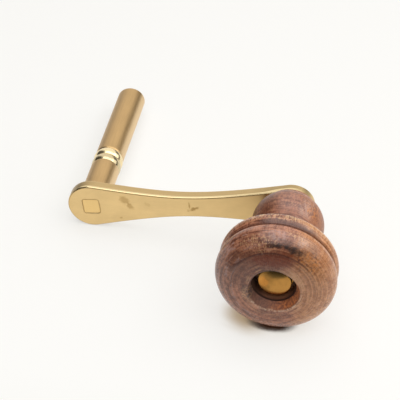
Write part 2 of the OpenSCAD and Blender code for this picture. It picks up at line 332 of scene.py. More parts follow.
def turned(radius, station, axis_x):
    """Profile turned about an axis along -Y: (axis_x + radius cos b, -station, radius sin b) at bearing b.
    radius and station hold one value per row, or one per row and bearing."""
    rows = len(station)
    bearing = np.linspace(0, 2 * np.pi, COLUMNS, endpoint=False)
    radius = np.broadcast_to(np.reshape(radius, (rows, -1)), (rows, COLUMNS))
    depth = np.broadcast_to(-np.reshape(station, (rows, -1)), (rows, COLUMNS))
    return np.stack([axis_x + radius * np.cos(bearing), depth, radius * np.sin(bearing)], axis=-1)


def square_reach(bearing):
    """Distance from a unit half-square's centre to its side at each bearing: 1 / max(|cos|, |sin|)."""
    return 1 / np.maximum(np.abs(np.cos(bearing)), np.abs(np.sin(bearing)))


def arc(centre, radii, start, end, count):
    """Points on an oval arc between two angles, as (radius, station) pairs."""
    turn = np.linspace(start, end, count)
    return np.stack([centre[0] + radii[0] * np.cos(turn), centre[1] + radii[1] * np.sin(turn)], axis=-1)


def bulge(top, centre, half, height, start, end, count):
    """Circular crown of a given height over a chord of twice half, between two shares of its sweep."""
    crown = (half**2 + height**2) / (2 * height)
    sweep = np.arcsin(half / crown)
    return arc((top - crown, centre), (crown, crown), start * sweep, end * sweep, count)


def even_points(profile, step):
    """The same line with points at an even spacing close to step."""
    along = np.concatenate([[0], np.cumsum(np.hypot(*np.diff(profile, axis=0).T))])
    at = np.linspace(0, along[-1], int(along[-1] / step) + 2)
    return np.stack([np.interp(at, along, profile[:, 0]), np.interp(at, along, profile[:, 1])], axis=-1)


def eased(profile, spread, count):
    """A profile with worn creases: each fine point becomes the bell-weighted mean of its neighbours.
    The points kept lie closer where the line turns: spacing goes with length + TURN_WEIGHT * turning."""
    fine = even_points(np.asarray(profile, float), FINE_STEP)
    reach = int(4 * spread / FINE_STEP)
    bell = np.exp(-0.5 * (np.arange(-reach, reach + 1) * FINE_STEP / spread) ** 2)
    bell /= bell.sum()
    wide = np.pad(fine, ((reach, reach), (0, 0)), mode="reflect", reflect_type="odd")
    worn = np.stack([np.convolve(wide[:, i], bell, mode="valid") for i in (0, 1)], axis=-1)
    stride = np.diff(worn, axis=0)
    heading = np.unwrap(np.arctan2(stride[:, 1], stride[:, 0]))
    turning = np.abs(np.gradient(heading))
    along = np.concatenate([[0], np.cumsum(np.hypot(stride[:, 0], stride[:, 1]) + TURN_WEIGHT * turning)])
    at = np.linspace(0, along[-1], count)
    return np.stack([np.interp(at, along, worn[:, 0]), np.interp(at, along, worn[:, 1])], axis=-1)


# The crank arm

def half_outline(end_radius, reach, waist):
    """Upper edge of half the arm, from the tip of its round end to the waist, with its outward normals.
    The round end is a circle about the hub. Past the touching point the edge is the hyperbola
    half-width^2 = waist^2 + slope^2 * (reach - x)^2, where x is the distance from the hub."""
    gain = end_radius**2 - waist**2
    slope2 = gain / (reach**2 - gain)
    touch = slope2 * reach / (1 + slope2)
    turn = np.linspace(np.pi, np.arccos(touch / end_radius), ROUND_POINTS)
    x = np.linspace(touch, reach, FLANK_POINTS)[1:]
    height = np.sqrt(waist**2 + slope2 * (reach - x) ** 2)
    rise = slope2 * (reach - x) / height
    flank_normal = np.stack([rise, np.ones_like(rise)], axis=-1) / np.hypot(rise, 1)[:, None]
    round_normal = np.stack([np.cos(turn), np.sin(turn)], axis=-1)
    edge = np.concatenate([end_radius * round_normal, np.stack([x, height], axis=-1)])
    return edge, np.concatenate([round_normal, flank_normal])


def arm_outline(arm):
    """Closed outline of the arm in X and Z, from the shaft end's tip over the top and back underneath.
    Its normals and the count of points on its upper edge are returned too."""
    near, near_normal = half_outline(-ARM_LOW.x, arm.waist_place, arm.waist)
    far, far_normal = half_outline(ARM_HIGH.x - THROW, THROW - arm.waist_place, arm.waist)
    turned_far = np.array([THROW, 0]) + far[-2::-1] * (-1, 1)
    upper = np.concatenate([near, turned_far])
    upper_normal = np.concatenate([near_normal, far_normal[-2::-1] * (-1, 1)])
    lower = upper[-2:0:-1] * (1, -1)
    lower_normal = upper_normal[-2:0:-1] * (1, -1)
    return np.concatenate([upper, lower]), np.concatenate([upper_normal, lower_normal]), len(upper)


def in_space(flat, station):
    """Points of X and Z, put at a station along -Y."""
    return np.stack([flat[..., 0], np.broadcast_to(-station, flat.shape[:-1]), flat[..., 1]], axis=-1)


def on_hole(bearing, hub_x, hole):
    """Points of X and Z on a hole about a hub. hole gives the hole's radius at a bearing."""
    direction = np.stack([np.cos(bearing), np.sin(bearing)], axis=-1)
    return np.array([hub_x, 0]) + hole(bearing)[:, None] * direction


def hub_ring(edge, hub_x, hole, station):
    """Flat face between a hole and the edge round it: straight lines along each edge point's bearing from
    the hub. A row close to the hole keeps its bevel's shading narrow. The bearings are returned too."""
    bearing = np.arctan2(edge[:, 1], edge[:, 0] - hub_x)
    along = np.concatenate([[0], np.linspace(0.04, 1, 6)])[:, None, None]
    return in_space(on_hole(bearing, hub_x, hole) * (1 - along) + edge * along, station), bearing


def hole_wall(hub_x, rows):
    """Wall of a hole. Each row gives its bearings, the hole's radius at a bearing, and its station."""
    return np.stack([in_space(on_hole(bearing, hub_x, hole), station) for bearing, hole, station in rows])


def arm_face(edge, count_upper, hole_near, hole_far, station):
    """One flat face of the arm: a ring round each hole, and a ladder of rungs across the arm between them.
    The bearings of the two rings are returned too."""
    cut_near = ROUND_POINTS + RING_FLANK
    cut_far = count_upper - 1 - cut_near
    upper = edge[:count_upper]
    lower = np.concatenate([edge[:1], edge[:count_upper - 1:-1], edge[count_upper - 1:count_upper]])
    rungs = np.linspace(0, 1, RUNG_POINTS)[:, None]
    near_cut = upper[cut_near] * (1 - rungs) + lower[cut_near] * rungs
    far_cut = upper[cut_far] * (1 - rungs) + lower[cut_far] * rungs
    near_edge = np.concatenate([upper[:cut_near], near_cut, lower[cut_near - 1:0:-1]])
    far_edge = np.concatenate([upper[cut_far + 1:], lower[-2:cut_far:-1], far_cut[::-1]])
    between = slice(cut_near, cut_far + 1)
    ladder = upper[None, between] * (1 - rungs[..., None]) + lower[None, between] * rungs[..., None]
    near, near_bearing = hub_ring(near_edge, 0, hole_near, station)
    far, far_bearing = hub_ring(far_edge, THROW, hole_far, station)
    return [(near, True), (far, True), (in_space(ladder, station), False)], near_bearing, far_bearing


def arm_grids(arm):
    """Grids of the arm: rounded rim, two flat faces, and the walls of the square and the round hole."""
    outline, normal, count_upper = arm_outline(arm)
    quarter = np.linspace(0, np.pi / 2, EDGE_ROWS)
    front, back = arm.front_round, arm.back_round
    inset = np.concatenate([
        [front + HOLD], front * (1 - np.sin(quarter)), back * (1 - np.cos(quarter)), [back + HOLD]])
    station = np.concatenate([
        [ARM_FRONT], ARM_FRONT - front * (1 - np.cos(quarter)),
        ARM_BACK + back * (1 - np.sin(quarter)), [ARM_BACK]])
    rings = outline - normal * inset[:, None, None]
    rim = in_space(rings, station[:, None])
    bevel, flare = arm.joint_bevel, arm.rivet_flare

    def square_hole(wider):
        return lambda b: np.minimum((arm.tenon_half + wider) * square_reach(b), arm.tenon_corner + wider)

    def round_hole(wider):
        return lambda b: np.full_like(b, arm.tail_hole + wider)

    front_face, near, far = arm_face(
        rings[0], count_upper, square_hole(bevel), round_hole(0), ARM_FRONT)
    back_face, near_back, far_back = arm_face(
        rings[-1], count_upper, square_hole(0), round_hole(flare), ARM_BACK)
    square_wall = hole_wall(0, [
        (near, square_hole(bevel), ARM_FRONT),
        (near, square_hole(0), ARM_FRONT - bevel),
        (near_back, square_hole(0), ARM_BACK),
    ])
    round_wall = hole_wall(THROW, [
        (far, round_hole(0), ARM_FRONT),
        (far, round_hole(0), ARM_BACK + flare),
        (far_back, round_hole(flare), ARM_BACK),
    ])
    return [(rim, True), *front_face, *back_face, (square_wall, True), (round_wall, True)]


# The winding shaft

def shaft_grids(shaft):
    """Closed surface of the shaft, in rows from the middle of the tenon's end to the drilled hole's bottom.
    Tenon rows take min(square, corner radius), barrel rows a circle, socket rows max(square, cone)."""
    bearing = np.linspace(0, 2 * np.pi, COLUMNS, endpoint=False)
    square = square_reach(bearing)
    ones = np.ones_like(bearing)
    turn = np.linspace(0, np.pi / 2, 7)
    edge = shaft.tenon_round
    tenon_end = ARM_FRONT - shaft.tenon_crown

    def tenon(inset):
        inset = np.reshape(inset, (-1, 1))
        return np.minimum((shaft.tenon_half - inset) * square, shaft.tenon_corner - inset)

    out = np.linspace(0, 1, 12)[:-1]
    crown_rows = tenon(edge) * out[:, None]
    crown_stations = tenon_end + shaft.tenon_crown * (1 - out**2)
    edge_rows = tenon(edge * (1 - np.sin(turn)))
    edge_stations = tenon_end - edge * (1 - np.cos(turn))
    barrel = barrel_profile(shaft)
    barrel_rows = barrel[:, :1] * ones
    cone_stations = np.linspace(0, shaft.lead_in, 5)
    cone = shaft.socket_half + shaft.lead_in - cone_stations
    mouth_rows = np.maximum(shaft.socket_half * square, cone[:, None])
    socket_rows = np.stack([shaft.socket_half * square, shaft.drill_radius * ones,
                            shaft.drill_radius * ones, 0 * ones])
    socket_stations = np.array([shaft.socket_depth, shaft.socket_depth, shaft.drill_depth,
                                shaft.drill_depth + shaft.drill_point])
    radius = np.concatenate([crown_rows, edge_rows, tenon(0), barrel_rows, mouth_rows, socket_rows])
    station = np.concatenate([
        crown_stations, edge_stations, [ARM_BACK], barrel[:, 1], cone_stations, socket_stations])
    return [(turned(radius, station, 0), True)]


def barrel_profile(shaft):
    """Line of the shaft's barrel from its shoulder on the arm, over the beads, to its open end's flat."""
    rise = SHAFT_HIGH.x - SHAFT_RADIUS
    half = shaft.bead_width / 2
    first = ARM_BACK - shaft.bead_start
    beads = [bulge(SHAFT_RADIUS + rise, first - (2 * n + 1) * half, half, rise + shaft.bead_cut, 1, -1, 15)
             for n in (0, 1)]
    last = first - 2 * shaft.bead_width
    tip = shaft.tip_round
    turn_tip = arc((SHAFT_RADIUS - tip, tip), (tip, tip), 0, -np.pi / 2, 9)
    line = np.concatenate([
        [(SHAFT_RADIUS, ARM_BACK), (SHAFT_RADIUS, first + shaft.bead_cut)],
        *beads,
        [(SHAFT_RADIUS, last - shaft.bead_cut)],
        turn_tip,
    ])
    return eased(line, BARREL_WEAR, 150)


# The wooden knob

def knob_profile(knob, mouth_share):
    """Closed line of the knob from its bore at the foot, over the outside to the face, and down the bore.
    The shank is the larger of the bulb's oval and of the neck with its cove; the collar, the back and the
    front are oval arcs; the face is a parabola that falls towards its edge; a cone leads into the recess,
    with a share of its full width and depth."""
    widest_at = KNOB_LENGTH - knob.front_depth
    groove_at = widest_at - knob.back_depth
    collar_back = groove_at - knob.collar_width
    back_radius = KNOB_RADIUS - knob.groove_depth
    u = collar_back * np.sin(np.linspace(0, np.pi / 2, 160))
    along_bulb = (u - knob.bulb_place) / knob.bulb_half_length
    bulb = knob.bulb * np.sqrt(np.clip(1 - along_bulb**2, 0, 1))
    flare = np.clip((u - knob.neck_place) / (collar_back - knob.neck_place), 0, 1)
    cove = back_radius - (back_radius - knob.neck) * np.sqrt(1 - flare**2)
    shank = np.stack([np.maximum(bulb, cove), u], axis=-1)
    half = knob.collar_width / 2
    rise = knob.groove_depth - knob.collar_step
    collar = arc((back_radius, groove_at - half), (rise, half), -np.pi / 2, np.pi / 2, 60)
    back = arc((back_radius, widest_at), (knob.groove_depth, knob.back_depth), -np.pi / 2, 0, 40)
    oval = (knob.front_depth - knob.face_crown) / np.sin(knob.front_sweep)
    front_centre = (KNOB_RADIUS - knob.front_round, widest_at)
    front = arc(front_centre, (knob.front_round, oval), 0, knob.front_sweep, 60)
    mouth = knob.recess + knob.mouth_width * mouth_share
    fall = np.linspace(1, 0, 30)
    face_radius = mouth + (front[-1, 0] - mouth) * fall
    face = np.stack([face_radius, KNOB_LENGTH - knob.face_crown * fall**2], axis=-1)
    floor = KNOB_LENGTH - knob.recess_depth
    mouth_floor = KNOB_LENGTH - knob.mouth_depth * mouth_share
    on_bevel = [((mouth + knob.recess) / 2, (KNOB_LENGTH + mouth_floor) / 2)]
    recess = [(knob.recess, mouth_floor), (knob.recess, floor), (knob.bore, floor)]
    outside = np.concatenate([[(knob.bore, 0)], shank, collar[1:], back[1:], front[1:], face[1:], on_bevel])
    worn = eased(outside, knob.wear, 350)
    sharp = eased(np.concatenate([on_bevel, recess]), knob.wear / 4, 50)
    closed = np.concatenate([worn, sharp[1:], worn[:1]])
    return closed + (0, KNOB_FOOT)


def knob_surface(knob):
    """The knob's line turned about its axis, with the mouth worn on one side. At an angle b from that side
    the bevel has the share 3 t^2 - 2 t^3, where t is (1 + cos b) / 1.7 and 1 at most, and the line is mixed
    from lines at the two nearest of nine shares."""
    lines = np.stack([knob_profile(knob, n / MOUTH_STEPS) for n in range(MOUTH_STEPS + 1)])
    bearing = np.linspace(0, 2 * np.pi, COLUMNS, endpoint=False)
    near_worn = np.minimum((1 + np.cos(bearing - knob.worn_side)) / 1.7, 1)
    at = near_worn**2 * (3 - 2 * near_worn) * MOUTH_STEPS
    low = np.minimum(at.astype(int), MOUTH_STEPS - 1)
    mix = (at - low)[:, None, None]
    line = lines[low] * (1 - mix) + lines[low + 1] * mix
    return turned(line[..., 0].T, line[..., 1].T, THROW)


# The spindle

def spindle_profile(spindle):
    """Line of the spindle from the middle of its riveted tail to the top of its domed head."""
    seat = -SPINDLE_LOW.y - spindle.head_dome - spindle.head_thickness
    rim = seat + spindle.head_thickness
    tail = [
        (0, ARM_BACK),
        (spindle.tail + spindle.rivet_flare, ARM_BACK),
        (spindle.tail, ARM_BACK + spindle.rivet_depth),
        (spindle.tail, ARM_FRONT),
        (spindle.journal, ARM_FRONT),
        (spindle.journal, seat),
        (spindle.head, seat),
        (spindle.head, rim),
    ]
    out = np.linspace(1, 0, 30)[1:]
    dome = np.stack([spindle.head * out, rim + spindle.head_dome * (1 - out**2)], axis=-1)
    return eased(np.concatenate([tail, dome]), spindle.head_round / 2, 120)


# Finishes

class Shade:
    """A socket of a node tree. Arithmetic on it adds Math nodes, and node() adds any other node."""

    def __init__(self, tree, socket=None):
        self.tree = tree
        self.socket = socket

    def join(self, value, socket):
        """Links a wrapped socket, or sets a plain value."""
        if isinstance(value, Shade):
            self.tree.links.new(value.socket, socket)
        else:
            socket.default_value = value

    def node(self, kind, settings=None, inputs=None, output=0):
        """Adds a node of a type, sets its settings and its sockets' values or links, and wraps one output."""
        made = self.tree.nodes.new(kind)
        for name, value in (settings or {}).items():
            setattr(made, name, value)
        for name, value in (inputs or {}).items():
            self.join(value, made.inputs[name])
        return Shade(self.tree, made.outputs[output])

    def maths(self, operation, *values):
        """Adds a Math node on values or wrapped sockets."""
        return self.node("ShaderNodeMath", {"operation": operation}, dict(enumerate(values)))

    def __add__(self, other):
        return self.maths("ADD", self, other)

    def __radd__(self, other):
        return self.maths("ADD", other, self)

    def __sub__(self, other):
        return self.maths("SUBTRACT", self, other)

    def __rsub__(self, other):
        return self.maths("SUBTRACT", other, self)

    def __mul__(self, other):
        return self.maths("MULTIPLY", self, other)

    def __rmul__(self, other):
        return self.maths("MULTIPLY", other, self)

    def __pow__(self, other):
        return self.maths("POWER", self, other)

    def __neg__(self):
        return self.maths("MULTIPLY", self, -1.0)

    def __abs__(self):
        return self.maths("ABSOLUTE", self)

    def higher(self, other):
        """The larger of this and another value."""
        return self.maths("MAXIMUM", self, other)

    def between(self, low, high):
        """Rises smoothly from 0 at low to 1 at high."""
        values = {"Value": self, "From Min": low, "From Max": high}
        return self.node("ShaderNodeMapRange", {"interpolation_type": "SMOOTHSTEP"}, values)

    def blend(self, low, high):
        """Mixes two colours, with this value as the factor."""
        values = {0: self, 6: opaque(low), 7: opaque(high)}
        return self.node("ShaderNodeMix", {"data_type": "RGBA"}, values, output=2)


def opaque(tone):
    """A colour with full alpha, or a wrapped socket as it is."""
    return tone if isinstance(tone, Shade) else (*tone, 1)


def scaled(tone, factor):
    """A colour times a number."""
    return [channel * factor for channel in tone]


def added(values):
    """The sum of wrapped values."""
    first, *rest = values
    return sum(rest, first)


def band(value, middle, half, soft):
    """1 where a value lies within half of a middle, falling to 0 over soft."""
    return 1 - abs(value - middle).between(half, half + soft)


def parts(where):
    """The X, Y and Z of a vector, each wrapped."""
    split = where.node("ShaderNodeSeparateXYZ", None, {0: where})
    return [Shade(where.tree, output) for output in split.socket.node.outputs]


def noise(where, stretch, detail=3.0, roughness=0.55):
    """Noise on coordinates that are first multiplied by a stretch, so its grain is 1 / stretch long."""
    grain = where.node("ShaderNodeMapping", None, {"Vector": where, "Scale": stretch})
    values = {"Vector": grain, "Scale": 1.0, "Detail": detail, "Roughness": roughness}
    return where.node("ShaderNodeTexNoise", {"noise_dimensions": "3D"}, values)


def start_finish(name, axis_x=0.0):
    """A new material, and its object coordinates in millimetres, counted from an axis along Y."""
    material = bpy.data.materials.new(name)
    material.use_nodes = True
    shade = Shade(material.node_tree)
    here = shade.node("ShaderNodeTexCoord", output="Object")
    scale = 1 / MM
    values = {"Vector": here, "Scale": (scale, scale, scale), "Location": (-axis_x * scale, 0, 0)}
    return material, shade.node("ShaderNodeMapping", None, values)


def end_finish(material, tone, roughness, others, bump=None):
    """Sets or links the sockets of a material's shader. bump gives a height, its strength and its depth."""
    shader = next(n for n in material.node_tree.nodes if n.type == "BSDF_PRINCIPLED")
    shade = Shade(material.node_tree)
    sockets = {"Base Color": tone, "Roughness": roughness, **others}
    if bump:
        values = dict(zip(("Height", "Strength", "Distance"), bump))
        sockets["Normal"] = shade.node("ShaderNodeBump", None, values)
    for name, value in sockets.items():
        shade.join(value, shader.inputs[name])
    return material


# Finish of the arm

# Dull marks on the arm's front: strength, middle in X and Z, half length, half width, turn in degrees
ARM_MARKS = (
    (0.6, (11.5, 2.6), 2.2, 1.8, 50),
    (0.6, (13.1, 0.1), 1.8, 1.0, 60),
    (0.25, (19.0, 1.0), 1.3, 0.8, 40),
    (1.1, (34.1, -0.6), 2.1, 0.75, -18),
    (1.0, (32.8, 0.5), 1.9, 0.3, 90),
    (0.7, (9.4, -4.5), 0.6, 0.45, 0),
)


def smudges(where, marks):
    """Sum of soft dull marks, in millimetres. Each is its strength in the middle of a ragged oval that is
    turned about Y, and 0 outside."""
    ragged = noise(where, (1.1, 0.2, 1.1), 4.0) - 0.5
    found = []
    for strength, middle, half_length, half_width, turn in marks:
        centred = where.node("ShaderNodeMapping", {"vector_type": "TEXTURE"}, {
            "Vector": where, "Location": (middle[0], 0, middle[1]), "Rotation": (0, np.radians(turn), 0),
            "Scale": (half_length, 1, half_width)})
        x, _, z = parts(centred)
        found.append((1 - ((x * x + z * z) ** 0.5 + ragged * 1.6).between(0.35, 1.1)) * strength)
    return added(found)


def tenon_joint(x, z, piece):
    """The dirty line round the tenon: 1 where max(|x|, |z|, distance - corner + half) is close to half."""
    half = piece.tenon_half / MM
    corner = piece.tenon_corner / MM
    reach = abs(x).higher(abs(z)).higher((x * x + z * z) ** 0.5 - (corner - half))
    return band(reach, half, 0.06, 0.2)


def arm_brass(arm):
    """Satin brass of the arm: drawn along its length, with faint clouds, dull marks and fine scratches,
    polished edges with a painted glint and a painted shade line inside them, painted shade towards the
    knob, and flanks darkened by painted shade except past the knob."""
    material, where = start_finish("arm_brass")
    clouds = noise(where, (0.12, 0.12, 0.2), 4.0)
    drawn = noise(where, (0.25, 9.0, 9.0), 2.0)
    scuffs = noise(where, (1.4, 1.4, 1.4), 5.0, 0.7)
    x, depth, z = parts(where)
    front = ARM_FRONT / MM
    knob_x = THROW / MM
    dull = smudges(where, ARM_MARKS) * (-depth).between(front - 0.3, front - 0.1)
    front_share = abs(parts(where.node("ShaderNodeTexCoord", output="Normal"))[1])

    grain = (clouds * 0.7 + drawn * 0.3).between(0.3, 0.7)
    clean = grain.blend(scaled(arm.brass, 0.93), scaled(arm.brass, 1.05))
    # Painted shade: the front darkens towards the knob, standing in for the knob's shade in its reflection.
    clean = (x.between(25.0, knob_x - 4.0) * 0.36).blend(clean, arm.tarnish_and_knob_shade)
    # Painted shade and light on the flanks: darker than the front, darkest at the left end and before the knob,
    # lighter past it.
    flank = (-x).between(-4.0, 4.0).blend(scaled(arm.brass, 0.72), scaled(arm.brass, 0.5))
    flank = x.between(knob_x - 14.0, knob_x - 6.0).blend(flank, scaled(arm.brass, 0.6))
    flank = x.between(knob_x + 1.0, knob_x + 6.0).blend(flank, scaled(arm.brass, 0.95))
    tone = front_share.between(0.05, 0.2).blend(flank, clean)

    # Painted highlight: real polish on the rounded front edge, plus a painted glint there and on a band of the
    # flank near the knob.
    painted_glint_band = (x.between(knob_x - 10.0, knob_x - 3.0) * 0.8 - depth).between(front - 1.1, front - 0.85)
    polish = painted_glint_band.higher(front_share.between(0.15, 0.3)) * (1 - front_share.between(0.5, 0.7))
    polish = polish * x.between(-5.5, -1.5) * (1 - x.between(knob_x + 1.0, knob_x + 5.0))
    tone = polish.blend(tone, arm.polished)
    # Painted shade: a dark line just inside the rounded front edge.
    painted_edge_shade = front_share.between(0.6, 0.72) * (1 - front_share.between(0.975, 0.995))
    painted_edge_shade = painted_edge_shade * (1 - x.between(knob_x - 8.0, knob_x - 2.0))
    joint = tenon_joint(x, z, arm)
    tone = (painted_edge_shade * 0.5).higher(joint * 0.2).blend(tone, arm.joint_dirt_and_edge_shade)
    tone = dull.blend(tone, arm.tarnish_and_knob_shade)
    roughness = 0.31 + scuffs * 0.1 + dull * 0.2 - polish * (1 - joint) * 0.24
    height = drawn * 0.6 + scuffs * 0.25 + clouds * 0.6
    return end_finish(material, tone, roughness, METAL, (height, 0.06, 0.1 * MM))


# Finish of the shaft

def shaft_brass(shaft):
    """Satin drawn brass of the shaft, with a painted highlight along its +X side and its two beads polished, the
    bead nearer the arm darkened with painted shade.
    """
    material, where = start_finish("shaft_brass")
    x, depth, z = parts(where)
    station = -depth
    first = (ARM_BACK - shaft.bead_start) / MM
    half = shaft.bead_width / MM
    middle = first - half
    front = ARM_FRONT / MM
    radius = SHAFT_RADIUS / MM
    drawn = noise(where, (5.0, 0.08, 5.0), 3.0)
    clouds = noise(where, (0.2, 0.1, 0.2), 4.0)
    scuffs = noise(where, (2.0, 2.0, 2.0), 5.0, 0.7)
    grain = (drawn * 0.6 + clouds * 0.4).between(0.3, 0.7)
    satin = grain.blend(scaled(shaft.brass, 0.9), scaled(shaft.brass, 1.06))
    # Painted highlight along the shaft's +X side.
    satin = x.between(radius - 1.0, radius - 0.25).blend(satin, shaft.painted_side_highlight)
    joint = tenon_joint(x, z, shaft)
    tenon = (joint * 0.35).blend(shaft.tenon, scaled(shaft.tenon, 0.4))
    satin = station.between(front - 0.6, front - 0.3).blend(satin, tenon)
    # Painted shade: the bead nearer the arm is darker than the one nearer the tip.
    beads = station.between(middle - 0.3, middle + 0.3).blend(shaft.polished, scaled(shaft.polished, 0.76))
    bright = 1 - abs(station - middle).between(half - 0.15, half + 0.1)
    roughness = (1 - bright) * (0.12 + drawn * 0.12) + 0.2 + scuffs * 0.04
    height = (1 - bright) * drawn + scuffs * 0.2
    return end_finish(material, bright.blend(satin, beads), roughness, METAL, (height, 0.08, 0.1 * MM))


# Finishes of the spindle and the knob

# Patches, in mm: strength, middle as (X from the axis, station from the knob's foot, Z), radii, raggedness
# Painted light on the spindle's head: a warm reflection on its left and the shadow of the recess's upper rim on
# its top.
PAINTED_WARM_REFLECTION = ((0.4, (-3.4, 36.0, 0.2), (2.2, 60.0, 2.6), 0.3),)
PAINTED_RIM_SHADOW = ((0.8, (1.4, 36.0, 3.6), (4.4, 60.0, 2.4), 0.3),)
# Painted shade: darker patches on the face, on the bulb's left and on the head's top.
SHADOWED = (
    (0.45, (-4.0, 38.4, 7.0), (13.0, 2.2, 10.0), 0.3),
    (0.55, (-6.5, 8.6, 8.5), (6.8, 9.0, 9.0), 0.3),
    (0.4, (-4.2, 38.4, -9.2), (3.4, 2.0, 1.8), 0.4),
    (0.3, (12.6, 35.5, 12.6), (3.2, 3.0, 3.0), 0.4),
    (0.12, (3.0, 34.5, 17.0), (13.0, 4.0, 5.0), 0.3),
)
# Painted sheen on the bulb.
PAINTED_BULB_SHEEN = ((0.1, (2.6, 9.4, 10.6), (5.4, 4.5, 4.0), 0.4),)
# Painted shade on the face above the recess.
SHADED_TOP = ((0.75, (2.0, 38.4, 10.8), (10.0, 2.0, 3.4), 0.4),)
# Painted sheen on the head's top.
PAINTED_TOP_SHEEN = (
    (0.26, (3.4, 35.1, 17.7), (5.0, 2.2, 2.5), 0.5),
    (0.182, (9.6, 35.2, 15.0), (3.0, 2.2, 2.2), 0.5),
)
GOLD_FLECKS = (
    (1.0, (-2.5, 36.4, 16.0), (7.5, 3.5, 3.5), 0.5),
    (1.0, (1.0, 25.8, 17.5), (11.0, 3.0, 4.0), 0.5),
    (0.7, (8.4, 33.4, 16.5), (7.0, 1.6, 3.0), 0.5),
)
ORANGE_FLECKS = (
    (1.0, (11.5, 37.2, 9.5), (5.5, 3.2, 6.0), 0.5),
    (1.0, (9.0, 9.4, 7.0), (3.0, 4.0, 3.0), 0.5),
)
SCRATCHED = ((1.0, (-7.9, 38.0, -1.8), (2.4, 2.5, 4.4), 0.5),)


def patches(where, rows):
    """Sum of ragged patches. Each is its strength in the middle of an oval ball, and 0 outside."""
    edge = noise(where, (0.9, 0.5, 0.9), 4.0) - 0.5
    found = []
    for strength, (x, station, z), radii, ragged in rows:
        centred = where.node("ShaderNodeMapping", {"vector_type": "TEXTURE"}, {
            "Vector": where, "Location": (x, -KNOB_FOOT / MM - station, z), "Scale": radii})
        reach = where.node("ShaderNodeVectorMath", {"operation": "LENGTH"}, {0: centred}, output="Value")
        found.append((1 - (reach + edge * (2 * ragged)).between(0.45, 1.0)) * strength)
    return added(found)


def spindle_brass(spindle):
    """Turned brass of the spindle, the bush and the washers: fine rings about the knob's axis, warm and a
    little dull, with a painted warm reflection on the head's left and a painted shadow of the recess's rim on its
    top."""
    material, where = start_finish("spindle_brass", THROW)
    x, depth, z = parts(where)
    ring_place = where.node("ShaderNodeCombineXYZ", None, {0: (x * x + z * z) ** 0.5, 1: depth})
    rings = noise(ring_place, (5.0, 5.0, 1.0))
    dull = noise(where, (0.16, 0.16, 0.16)).between(0.4, 0.66)
    tone = dull.blend(scaled(spindle.brass, 1.15), scaled(spindle.brass, 0.75))
    tone = patches(where, PAINTED_WARM_REFLECTION).blend(tone, spindle.warm_reflection)
    tone = patches(where, PAINTED_RIM_SHADOW).blend(tone, spindle.rim_shadow)
    return end_finish(material, tone, 0.16 + rings * 0.1 + dull * 0.05, METAL, (rings, 0.1, 0.1 * MM))


class Wood:
    """Coordinates on the knob, in millimetres and from its foot, and the noises that make up its wood."""

    def __init__(self, where):
        x, depth, z = parts(where)
        station = -depth - KNOB_FOOT / MM
        out = (x * x + z * z) ** 0.5
        self.where = where
        self.x = x
        self.z = z
        self.station = station
        self.out = out
        self.bearing = x.maths("ARCTAN2", z, x)
        self.on_head = station.between(12.0, 20.0)
        self.on_bulb = 1 - station.between(11.0, 14.0)
        self.wander = noise(where, (0.12, 0.04, 0.12)) - 0.5
        self.side = (x - z * 0.15 + self.wander * 9.0).between(3.0, 9.5)
        self.streaks = noise(where, (0.6, 0.09, 0.6), 4.0, 0.6)
        self.mottle = noise(where, (1.0, 0.4, 1.0), 4.0, 0.65)
        self.fibre = noise(where, (3.0, 0.35, 3.0), 4.0, 0.6)
        self.specks = noise(where, (1.9, 1.0, 1.9), 4.0, 0.7)
        ring_place = where.node("ShaderNodeCombineXYZ", None, {0: out, 1: station, 2: x * 0.16 + z * 0.1})
        self.fine_rings = noise(ring_place, (2.2, 2.2, 1.0), 3.0, 0.65)
        self.rings = noise(ring_place, (0.85, 0.85, 1.0), 2.0, 0.6)
        on_ball = 16.0 * out ** -1.0
        across_grain = {0: x * on_ball, 1: station - out, 2: z * on_ball}
        ray_place = where.node("ShaderNodeCombineXYZ", None, across_grain)
        self.rays = noise(ray_place, (2.3, 0.9, 2.3), 3.0, 0.65)
        self.flecks = noise(ray_place, (1.25, 0.7, 1.25), 4.0, 0.7)
        self.gold = patches(where, GOLD_FLECKS) + 0.08
        self.gold_rays = self.rays.between(0.52, 0.64) * self.gold


